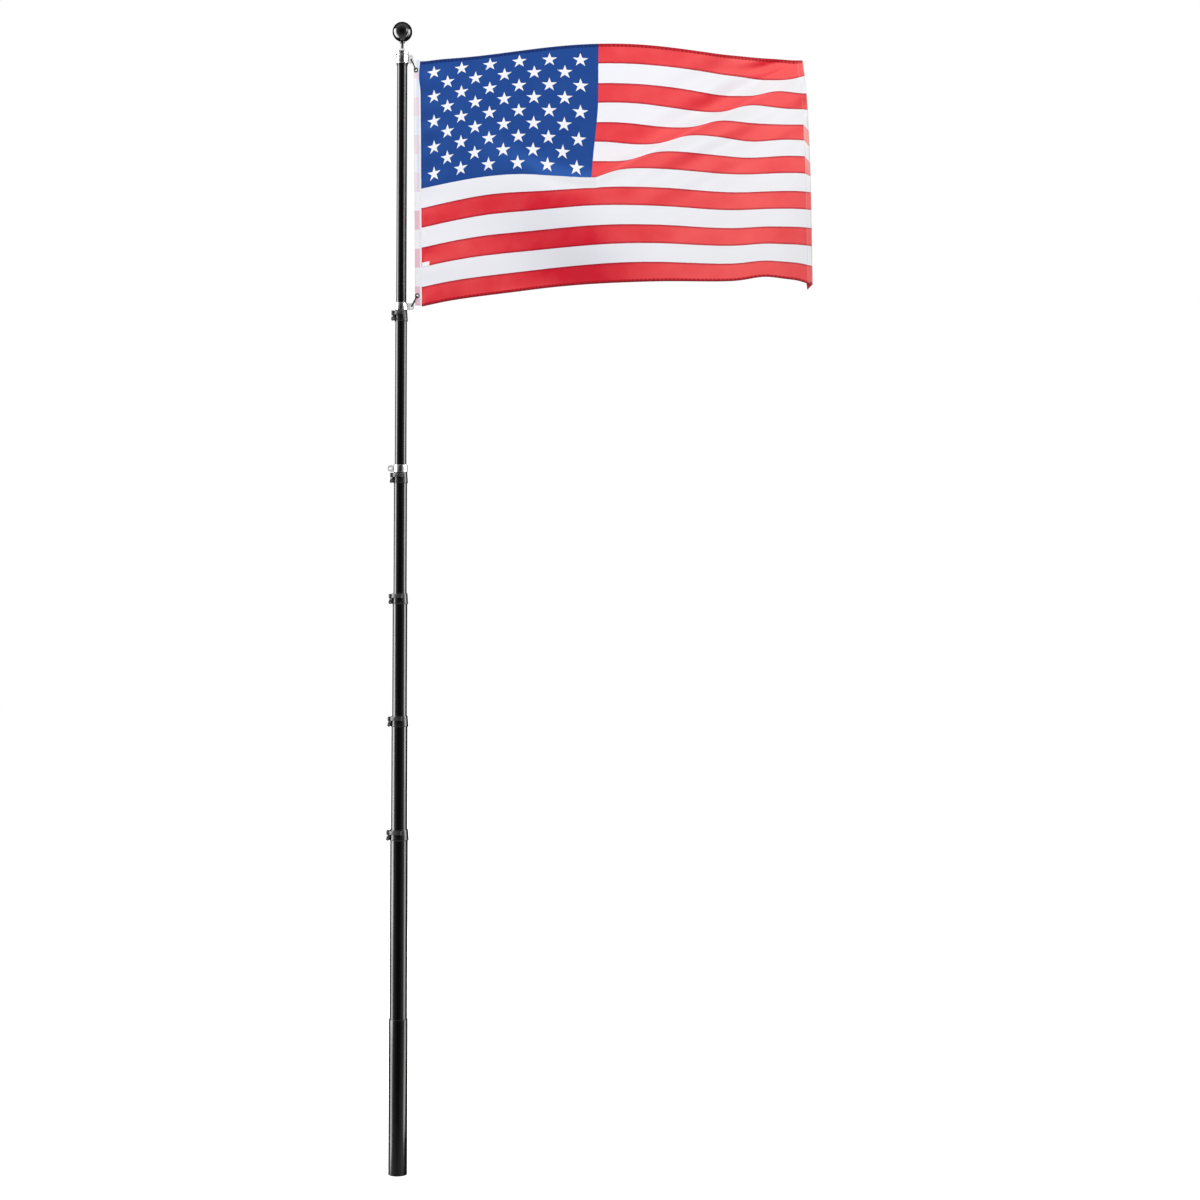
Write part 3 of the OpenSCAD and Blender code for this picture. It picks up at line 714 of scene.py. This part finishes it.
def star_tree():
    """Fifty five-pointed stars in nine rows of six and five."""
    tree, given, out = new_tree("star_rows", [
        ("Star radius", "NodeSocketFloat"), ("Star thickness", "NodeSocketFloat"),
        ("Column step", "NodeSocketFloat"), ("Row step", "NodeSocketFloat"), *LAID,
    ])
    radius = given.outputs["Star radius"]
    outline = node(tree, "GeometryNodeCurveStar", {
        "Points": 5, "Inner Radius": times(tree, radius, 0.382), "Outer Radius": radius,
    }).outputs[0]
    filled = node(tree, "GeometryNodeFillCurve", {"Curve": outline}).outputs[0]
    fine = node(tree, "GeometryNodeSubdivideMesh", {"Mesh": filled, "Level": 1}).outputs[0]
    raised = node(tree, "GeometryNodeExtrudeMesh", {
        "Mesh": fine, "Offset Scale": given.outputs["Star thickness"], "Individual": False,
    }).outputs["Mesh"]
    quarter_turn = (0.0, 0.0, -math.pi / 2)
    point_up = node(tree, "GeometryNodeTransform", {"Geometry": raised, "Rotation": quarter_turn}).outputs[0]
    columns, rows = given.outputs["Column step"], given.outputs["Row step"]
    both = node(tree, "GeometryNodeJoinGeometry")
    for across, down in ((6, 5), (5, 4)):
        grid = node(tree, "GeometryNodeMeshGrid", {
            "Size X": times(tree, columns, 2.0 * (across - 1)), "Size Y": times(tree, rows, 2.0 * (down - 1)),
            "Vertices X": across, "Vertices Y": down,
        }).outputs[0]
        tree.links.new(grid, both.inputs[0])
    middle = vector_of(tree, times(tree, columns, 6.0), times(tree, rows, 5.0))
    moved = {"Geometry": both.outputs[0], "Translation": middle}
    spots = node(tree, "GeometryNodeTransform", moved).outputs[0]
    stars = node(tree, "GeometryNodeInstanceOnPoints", {"Points": spots, "Instance": point_up}).outputs[0]
    flat = node(tree, "GeometryNodeRealizeInstances", {"Geometry": stars}).outputs[0]
    return end_on_guide(tree, given, out, flat)


def stitch_tree():
    """A straight or zig-zag row of thread stitches from one place on the cloth to another."""
    tree, given, out = new_tree("stitch_row", [
        ("From", "NodeSocketVector"), ("To", "NodeSocketVector"), ("Stitches", "NodeSocketInt"),
        ("Stitch length", "NodeSocketFloat"), ("Thread radius", "NodeSocketFloat"),
        ("Turn", "NodeSocketFloat"), ("Zigzag", "NodeSocketFloat"), *LAID,
    ])
    line = node(tree, "GeometryNodeMeshLine", {
        "Count": given.outputs["Stitches"],
        "Start Location": given.outputs["From"], "Offset": given.outputs["To"],
    }, mode="END_POINTS").outputs[0]
    bead = node(tree, "GeometryNodeMeshUVSphere", {"Segments": 6, "Rings": 4, "Radius": 1.0}).outputs[0]
    thread = given.outputs["Thread radius"]
    size = vector_of(tree, times(tree, given.outputs["Stitch length"], 0.5), thread, thread)
    odd = math_node(tree, "MODULO", node(tree, "GeometryNodeInputIndex").outputs[0], 2.0)
    lean = times(tree, minus(tree, odd, 0.5), given.outputs["Zigzag"])
    turn = vector_of(tree, z=plus(tree, lean, given.outputs["Turn"]))
    turned = node(tree, "FunctionNodeEulerToRotation", {0: turn}).outputs[0]
    row = node(tree, "GeometryNodeInstanceOnPoints", {
        "Points": line, "Instance": bead, "Rotation": turned, "Scale": size,
    }).outputs[0]
    flat = node(tree, "GeometryNodeRealizeInstances", {"Geometry": row}).outputs[0]
    return end_on_guide(tree, given, out, flat)


def grown(tree, guide, values):
    """The plain mesh that a tree makes on a guide, with its inputs set by name."""
    modifier = guide.modifiers.new(tree.name, "NODES")
    modifier.node_group = tree
    sockets = {s.name: s.identifier for s in tree.interface.items_tree if s.in_out == "INPUT"}
    for label, value in values.items():
        modifier[sockets[label]] = value
    guide.update_tag()
    bpy.context.view_layer.update()
    ready = guide.evaluated_get(bpy.context.evaluated_depsgraph_get())
    mesh = bpy.data.meshes.new_from_object(ready)
    guide.modifiers.remove(modifier)
    return mesh


def joined(name, meshes):
    """One object from several plain meshes."""
    made = []
    for mesh in meshes:
        piece = bpy.data.objects.new(name, mesh)
        scene.collection.objects.link(piece)
        made.append(piece)
    chosen = {"active_object": made[0], "selected_editable_objects": made, "selected_objects": made}
    with bpy.context.temp_override(**chosen):
        bpy.ops.object.join()
    return made[0]


def thread_finish(name, color):
    """Twisted sewing thread."""
    made, tree, shader = finish_of(name, color, 0.55, Sheen_Weight=0.2, Sheen_Roughness=0.4)
    twist = ribs(tree, object_place(tree), 900.0, "DIAGONAL")
    darker = tuple(0.6 * c for c in color)
    feed(tree, shader, Base_Color=two_tone(tree, twist, darker, color))
    bump(tree, shader, twist, 0.2, 0.0002)
    return made


red_thread = thread_finish("thread_red", (0.30, 0.008, 0.018))
blue_thread = thread_finish("thread_blue", (0.006, 0.018, 0.08))
white_thread = thread_finish("thread_white", (0.72, 0.73, 0.78))
pale_thread = thread_finish("thread_pale", (0.80, 0.45, 0.47))
# Star cloth, with the same painted shade and painted fly-hem highlight as the other cloths
star_white = dyed_cloth("star_white", (0.88, 0.88, 0.90), (0.86, 0.87, 0.92), (0.88, 0.88, 0.92))

field_guide = guide_of("field_guide", field_place, field_us, field_vs)
stars = star_tree()
stitches = stitch_tree()
BOTH_SIDES = (1.0, -1.0)
ON_FIELD = {"Cloth width": FIELD_W, "Cloth height": CLOTH_H}
CANTON_END = CANTON_W * FIELD_W
CANTON_FOOT = CANTON_STRIPES / STRIPES
STAR_R, STAR_T = 0.0278, 0.00025
STAR_GUIDE_LINES = 121


# Stars
def star_spot(across, down):
    """The place on the sheet of a star at these shares of the canton, spaced as seen from the front."""
    bow = across * (1.0 - across)
    fly_top = across ** 2 * (1.0 - down)
    u = CANTON_W * (across - (0.09 + 0.06 * down) * bow - 0.0136 * fly_top)
    share = (down + 0.066 * (down - 0.5) * across + 0.016 * across - 0.087 * down * (1.0 - down)
             - (0.084 - 0.027 * down) * bow + 0.054 * fly_top + 0.016 * (1.0 - across) ** 2)
    steps = np.linspace(0.0, CANTON_FOOT, 201)
    column = field_place(np.full_like(steps, u.mean()), steps)
    seen = (column[:, 2] - EYE[2]) / (column[:, 1] - EYE[1])
    v = np.interp(seen[0] + share * (seen[-1] - seen[0]), seen[::-1], steps[::-1])
    return field_place(u, v)


shares = np.linspace(0.0, 1.0, STAR_GUIDE_LINES)
star_points = np.concatenate([star_spot(across, shares) for across in shares])
star_grid = np.meshgrid(shares * CANTON_W, shares * CANTON_FOOT, indexing="ij")
star_guide = make_object("star_guide", star_points, grid_faces(len(shares), len(shares)),
                         np.stack([g.ravel() for g in star_grid], -1))
star_print = joined("flag_stars", [
    grown(stars, star_guide, {
        "Star radius": STAR_R, "Star thickness": STAR_T, "Column step": CANTON_END / 12,
        "Row step": CLOTH_H * CANTON_FOOT / 10, "Off the middle": CLOTH_T / 2 - SUNK, "Side": side,
        "Material": star_white, **ON_FIELD,
    }) for side in BOTH_SIDES
])

# Stitches: pitch, length of a stitch and thread radius, for the zig-zag hems and for the straight rows
HEM_PITCH, HEM_STITCH, HEM_THREAD = 0.0066, 0.0100, 0.0008
ROW_PITCH, ROW_STITCH, ROW_THREAD = 0.0036, 0.0028, 0.00045
ZIGZAG = math.radians(100)
ROW_END, SEAM_GAP = 0.004, 0.002
MID_HEM = 0.55 * HEM_W
FLY_ROWS, HEADER_ROWS = (0.003, 0.0175), (0.0185, 0.0222)


def stitch_rows(name, guide, size, rows, kind, off, thread):
    """Rows of stitches on both faces, from start to end. kind is pitch, length, radius and zig-zag angle."""
    pitch, length, radius, zigzag = kind
    made = []
    for start, end in rows:
        run = math.dist(start, end)
        for side in BOTH_SIDES:
            made.append(grown(stitches, guide, {
                "From": (*start, 0.0), "To": (*end, 0.0), "Stitches": max(2, int(run / pitch)),
                "Stitch length": length, "Thread radius": radius,
                "Turn": math.atan2(end[1] - start[1], end[0] - start[0]), "Zigzag": zigzag,
                "Off the middle": off, "Side": side, "Material": thread, **size,
            }))
    return joined(name, made)


HEM_KIND = (HEM_PITCH, HEM_STITCH, HEM_THREAD, ZIGZAG)
ROW_KIND = (ROW_PITCH, ROW_STITCH, ROW_THREAD, 0.0)
blue_stitches = stitch_rows("hem_stitches_blue", field_guide, ON_FIELD, [
    ((ROW_END, MID_HEM), (CANTON_END - SEAM_GAP, MID_HEM)),
], HEM_KIND, HEM_T / 2, blue_thread)
red_stitches = stitch_rows("hem_stitches_red", field_guide, ON_FIELD, [
    ((CANTON_END + SEAM_GAP, MID_HEM), (FIELD_W - ROW_END, MID_HEM)),
    ((ROW_END, CLOTH_H - MID_HEM), (FIELD_W - ROW_END, CLOTH_H - MID_HEM)),
], HEM_KIND, HEM_T / 2, red_thread)
fly_stitches = stitch_rows("fly_stitches", field_guide, ON_FIELD, [
    ((FIELD_W - inset, ROW_END), (FIELD_W - inset, CLOTH_H - ROW_END)) for inset in FLY_ROWS
], ROW_KIND, HEM_T / 2, pale_thread)


# Header: a folded canvas strip with rows of stitching and a hole for each grommet
def header_canvas():
    """White canvas that the field's dyes show through: blue beside the canton, pink beside red stripes."""
    made, tree, shader = finish_of("header_canvas", (0.84, 0.84, 0.87), 0.75, Sheen_Weight=0.1)
    own = cloth_map(tree)
    flat = mapped(tree, own, (HEADER_W, HOIST, 1.0))
    uneven = spread(tree, noise(tree, flat, 60.0, 3.0), 0.0, 1.0)
    white = two_tone(tree, uneven, (0.90, 0.90, 0.93), (0.83, 0.83, 0.87))
    split = node(tree, "ShaderNodeSeparateXYZ", {0: own})
    across, down = split.outputs["X"], split.outputs["Y"]
    beside_canton = math_node(tree, "LESS_THAN", down, CANTON_FOOT)
    off_seam = spread(tree, across, 1.0, 0.0, 0.74, 0.8)
    blue_share = times(tree, times(tree, beside_canton, off_seam), spread(tree, across, 0.0, 0.8, 0.3, 0.5))
    in_red = math_node(tree, "LESS_THAN", math_node(tree, "FRACT", times(tree, down, STRIPES / 2)), 0.5)
    red_row = times(tree, in_red, math_node(tree, "GREATER_THAN", down, 0.055))
    strength = minus(tree, 0.85, times(tree, beside_canton, 0.5))
    pink_share = times(tree, times(tree, red_row, off_seam), strength)
    tinted = over(tree, blue_share, white, (0.66, 0.72, 0.86))
    feed(tree, shader, Base_Color=over(tree, pink_share, tinted, (0.80, 0.46, 0.55)))
    weave = times(tree, ribs(tree, flat, 200.0, "X"), ribs(tree, flat, 200.0, "Y"))
    bump(tree, shader, weave, 0.3, 0.0003)
    return made


def header_thickness(u, v):
    """Rounded at both long edges."""
    return HEADER_T * np.sqrt(np.clip(1.0 - np.abs(2.0 * u - 1.0) ** 14, 0.08, 1.0))


def cut_round(piece, at, radius):
    """Cuts a round hole through a piece, front to back."""
    bpy.ops.mesh.primitive_cylinder_add(vertices=48, radius=radius, depth=0.02, location=at,
                                        rotation=(math.pi / 2, 0, 0))
    cutter = bpy.context.object
    hole = piece.modifiers.new("grommet_hole", "BOOLEAN")
    hole.object = cutter
    hole.operation = "DIFFERENCE"
    hole.solver = "EXACT"
    ready = piece.evaluated_get(bpy.context.evaluated_depsgraph_get())
    mesh = bpy.data.meshes.new_from_object(ready)
    piece.modifiers.clear()
    piece.data = mesh
    bpy.data.objects.remove(cutter)


GROMMET_HOLE_R = 0.0062
HEADER_GRID = (17, 241)
header_us, header_vs = (np.linspace(0.0, 1.0, lines) for lines in HEADER_GRID)
header = closed_sheet("flag_header_strip", header_place, header_us, header_vs, header_thickness)
header.data.materials.append(header_canvas())
for grommet in ("upper_grommet", "lower_grommet"):
    low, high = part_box(grommet)
    cut_round(header, (low + high) / 2, GROMMET_HOLE_R)

header_guide = guide_of("header_guide", header_place, header_us, header_vs)
ON_HEADER = {"Cloth width": HEADER_W, "Cloth height": HOIST}
header_stitches = stitch_rows("header_stitches", header_guide, ON_HEADER, [
    ((inset, ROW_END), (inset, HOIST - ROW_END)) for inset in HEADER_ROWS
], ROW_KIND, HEADER_T / 2 - SUNK, white_thread)


# Blank sewn label on the lower hoist corner
def label_white():
    """Smooth white tape with a fine grain."""
    made, tree, shader = finish_of("label_white", (0.9, 0.9, 0.93), 0.5)
    grain = noise(tree, object_place(tree, (2000.0, 2000.0, 300.0)), 1.0)
    feed(tree, shader, Base_Color=two_tone(tree, grain, (0.86, 0.86, 0.9), (0.93, 0.93, 0.95)))
    bump(tree, shader, grain, 0.15, 0.0002)
    return made


LABEL_U, LABEL_V, LABEL_LONG, LABEL_DEEP = 0.001, 0.829, 0.0185, 0.019
LABEL_T, LABEL_CURL = 0.0004, 0.0006


def label_place(u, v):
    on_u, on_v = LABEL_U + LABEL_LONG * u, LABEL_V + LABEL_DEEP * v
    lift = CLOTH_T / 2 + LABEL_T + LABEL_CURL * np.sin(np.pi * v) * u
    return field_place(on_u, on_v) + surface_normals(field_place, on_u, on_v) * lift[..., None]


label_patch = closed_sheet("blank_label", label_place, np.linspace(0, 1, 15), np.linspace(0, 1, 11),
                           lambda u, v: LABEL_T + 0.0 * u)
label_patch.data.materials.append(label_white())

# Fly end's bottom corner, turned back so that its tip hangs below the hem
CORNER_LONG, CORNER_IN, CORNER_TIP_IN = 0.0165, 0.002, 0.0135
TIP_HANG, BEHIND_HEM = np.array([0.0, 0.004, -0.021]), np.array([0.0, 0.0012, 0.0])


def corner_place(u, v):
    along = field_place(1.0 - CORNER_LONG * (1.0 - u), 1.0 - CORNER_IN + 0.0 * u)
    tip = field_place(1.0 - CORNER_TIP_IN + 0.0 * u, 1.0 + 0.0 * u) + TIP_HANG
    return along + (tip - along) * v[..., None] + BEHIND_HEM


turned_corner = closed_sheet("turned_corner", corner_place, np.linspace(0, 1, 7), np.linspace(0, 0.96, 7),
                             lambda u, v: CLOTH_T + 0.0 * u)
# The turned corner's darker red is painted shade on the same cloth
turned_corner.data.materials.append(
    dyed_cloth("flag_red_back_shaded", (0.58, 0.012, 0.028), (0.45, 0.008, 0.018), (0.5, 0.01, 0.022)))


# Domed rivet in the dimple of each lever's knob
def rivet_tree():
    """A flattened ball, as a low dome that faces the front."""
    tree, given, out = new_tree("rivet_dome", [
        ("Radius", "NodeSocketFloat"), ("Rise", "NodeSocketFloat"), ("Place", "NodeSocketVector"),
        ("Material", "NodeSocketMaterial"),
    ])
    ball = node(tree, "GeometryNodeMeshUVSphere", {"Segments": 24, "Rings": 10, "Radius": 1.0}).outputs[0]
    size = vector_of(tree, given.outputs["Radius"], given.outputs["Radius"], given.outputs["Rise"])
    dome = node(tree, "GeometryNodeTransform", {
        "Geometry": ball, "Translation": given.outputs["Place"],
        "Rotation": (math.pi / 2, 0.0, 0.0), "Scale": size,
    }).outputs[0]
    smooth = node(tree, "GeometryNodeSetShadeSmooth", {"Geometry": dome}).outputs[0]
    return end_tree(tree, given, out, smooth)


rivets = rivet_tree()
rivet_finish = plain_metal("rivet_satin", (0.80, 0.80, 0.81), 0.42, 800.0)
LEVERS = 5
KNOB_R, DIMPLE_Y = 0.0062, -0.0191
RIVET_R, RIVET_RISE = 0.0033, 0.0011
for i in range(1, LEVERS + 1):
    low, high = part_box(f"lever_{i}")
    dimple = (low[0] + KNOB_R, DIMPLE_Y, low[2] + KNOB_R)
    rivet = bpy.data.objects.new(f"rivet_{i}", grown(rivets, field_guide, {
        "Radius": RIVET_R, "Rise": RIVET_RISE, "Place": dimple, "Material": rivet_finish,
    }))
    scene.collection.objects.link(rivet)
    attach(rivet, f"lever_{i}")

for guide in (field_guide, star_guide, header_guide):
    bpy.data.objects.remove(guide)

# The flag rides on the lower ring
sewn_on = [star_print, blue_stitches, red_stitches, fly_stitches, label_patch, turned_corner]
for piece, finish_slot in ((flag_field, "flag_cloth"), (header, "header_canvas"),
                           (header_stitches, "header_canvas"), *((p, "flag_cloth") for p in sewn_on)):
    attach(piece, "lower_swivel")
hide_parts("flag_field")
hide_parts("flag_header")
for piece in (flag_field, header, header_stitches, *sewn_on):
    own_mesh(piece)


# Camera, level apart from a slight roll
CAMERA_ROLL = math.radians(0.24)
camera = bpy.data.cameras.new("camera")
camera.lens = 62.49
camera.sensor_width = 36.0
camera_piece = bpy.data.objects.new("camera", camera)
camera_piece.location = EYE
camera_piece.rotation_euler = (math.pi / 2, -CAMERA_ROLL, 0.0)
scene.collection.objects.link(camera_piece)
scene.camera = camera_piece
scene.view_settings.view_transform = "Standard"


# Floor, white to the camera and unseen by the part
def floor_pale():
    made, _, shader = finish_of("floor_pale", (0.9, 0.9, 0.9), 0.9, Specular_IOR_Level=0.0)
    shader.inputs["Emission Color"].default_value = (1.0, 1.0, 1.0, 1.0)
    shader.inputs["Emission Strength"].default_value = 1.0
    return made


FLOOR_HALF, FLOOR_Z = 30, -0.002
floor_corners = [(x * FLOOR_HALF, y * FLOOR_HALF, FLOOR_Z) for x, y in ((-1, -1), (1, -1), (1, 1), (-1, 1))]
floor = make_object("floor", floor_corners, [(0, 1, 2, 3)])
floor.data.materials.append(floor_pale())
floor.visible_glossy = floor.visible_diffuse = floor.visible_shadow = False

# Softboxes, for matt surfaces alone or for gloss alone: name, place, what it faces, width and height, watts
MATT_LIGHTS = (
    ("key", (0.8, -5.2, 7.6), (0.7, 0.0, 3.2), (5.0, 3.0), 425.0),
    ("back_fill", (0.8, 6.2, 2.6), (0.7, 0.0, 3.4), (5.0, 3.0), 230.0),
)
GLOSS_LIGHTS = (
    ("left_strip", (-4.2, 0.1, 3.15), (0.0, 0.1, 3.15), (2.7, 5.9), 490.0),
    ("left_low_strip", (-4.2, 0.1, -1.15), (0.0, 0.1, -1.15), (2.7, 2.7), 145.0),
    ("right_strip", (5.2, 0.3, 3.55), (0.0, 0.3, 3.55), (2.9, 5.1), 375.0),
    ("right_top_strip", (4.3, -2.5, 5.2), (0.0, 0.0, 3.8), (0.8, 2.6), 62.0),
    ("right_low_strip", (5.2, 0.3, -0.75), (0.0, 0.3, -0.75), (2.9, 3.5), 160.0),
)


def softbox(name, place, target, size, watts, glossy):
    """An area light, either for gloss alone or for matt surfaces alone."""
    lamp = bpy.data.lights.new(name, "AREA")
    lamp.shape = "RECTANGLE"
    lamp.size, lamp.size_y = size
    lamp.energy = watts
    piece = bpy.data.objects.new(name, lamp)
    piece.location = place
    aim = Vector(target) - Vector(place)
    piece.rotation_euler = aim.to_track_quat("-Z", "Y").to_euler()
    piece.visible_diffuse = not glossy
    piece.visible_glossy = glossy
    piece.visible_camera = False
    scene.collection.objects.link(piece)


for light in MATT_LIGHTS:
    softbox(*light, glossy=False)
for light in GLOSS_LIGHTS:
    softbox(*light, glossy=True)


def studio_air():
    """White to the camera, even to matt surfaces, and to gloss dark in front and behind, paler between."""
    world = bpy.data.worlds.new("studio")
    world.use_nodes = True
    air = world.node_tree
    air.nodes.clear()
    toward = node(air, "ShaderNodeSeparateXYZ", {0: node(air, "ShaderNodeTexCoord").outputs["Generated"]})
    front = spread(air, toward.outputs["Y"], 0.012, 0.7, -0.95, -0.3)
    back = spread(air, toward.outputs["Y"], 1.0, 0.05, -0.15, 0.3)
    path = node(air, "ShaderNodeLightPath")
    layers = node(air, "ShaderNodeBackground", {"Strength": 0.42}).outputs[0]
    for ray, strength in (("Is Glossy Ray", times(air, front, back)), ("Is Camera Ray", 1.0)):
        lit = node(air, "ShaderNodeBackground", {"Color": (1, 1, 1, 1), "Strength": strength}).outputs[0]
        layers = node(air, "ShaderNodeMixShader", {0: path.outputs[ray], 1: layers, 2: lit}).outputs[0]
    node(air, "ShaderNodeOutputWorld", {"Surface": layers})
    return world


scene.world = studio_air()
